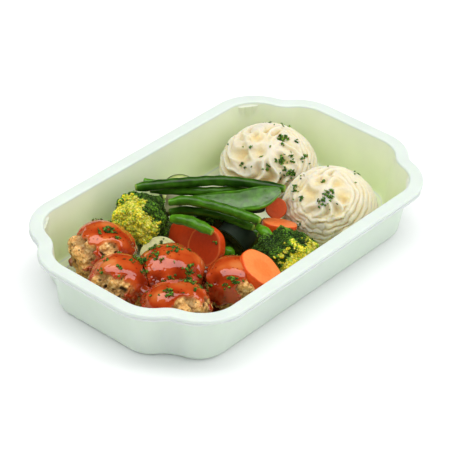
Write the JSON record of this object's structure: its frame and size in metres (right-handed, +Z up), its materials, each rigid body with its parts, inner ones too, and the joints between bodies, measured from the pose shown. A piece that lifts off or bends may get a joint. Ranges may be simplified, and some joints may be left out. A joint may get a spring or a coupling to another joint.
{
  "type": "plastic tray meal",
  "caption": "Ready meal in a lobed pale green plastic tray: glazed meatballs, piped potato mash, broccoli, green beans, a pea pod and slices of carrot and courgette.",
  "frame": {"origin": "middle of the tray's underside, on the plane of the ring that the tray stands on", "axes": "+X along the tray towards the mash, +Y across the tray, +Z up"},
  "size_m": [0.2262, 0.1374, 0.0366],
  "materials": {
    "tray_plastic": "thin moulded pale green plastic, satin, lets some light through",
    "meatball_glazed": "browned minced meat under a glossy red-brown glaze, with green parsley chips",
    "potato_mash": "soft cream-coloured piped mash, slightly moist, with green parsley chips",
    "broccoli_florets": "matt dark green buds, yellow-green where they open",
    "bean_green": "glossy dark green skin, wet",
    "carrot_orange": "wet orange flesh with a smooth cut face",
    "courgette_flesh": "pale yellow-green wet flesh with a dark green skin edge"
  },
  "bodies": {
    "root": {"tray": "tray_plastic", "meatball_1": "meatball_glazed", "meatball_2": "meatball_glazed", "meatball_3": "meatball_glazed", "meatball_4": "meatball_glazed", "meatball_5": "meatball_glazed", "mash_1": "potato_mash", "mash_2": "potato_mash", "broccoli_1": "broccoli_florets", "broccoli_2": "broccoli_florets", "bean_1": "bean_green", "bean_2": "bean_green", "bean_3": "bean_green", "bean_4": "bean_green", "bean_5": "bean_green", "bean_6": "bean_green", "bean_7": "bean_green", "bean_8": "bean_green", "pea_pod": "bean_green", "pea": "bean_green", "carrot_1": "carrot_orange", "carrot_2": "carrot_orange", "carrot_3": "carrot_orange", "carrot_4": "carrot_orange", "carrot_5": "carrot_orange", "courgette_1": "courgette_flesh", "courgette_2": "courgette_flesh", "courgette_3": "courgette_flesh", "courgette_4": "courgette_flesh", "courgette_5": "courgette_flesh", "courgette_6": "courgette_flesh"}
  },
  "joints": []
}
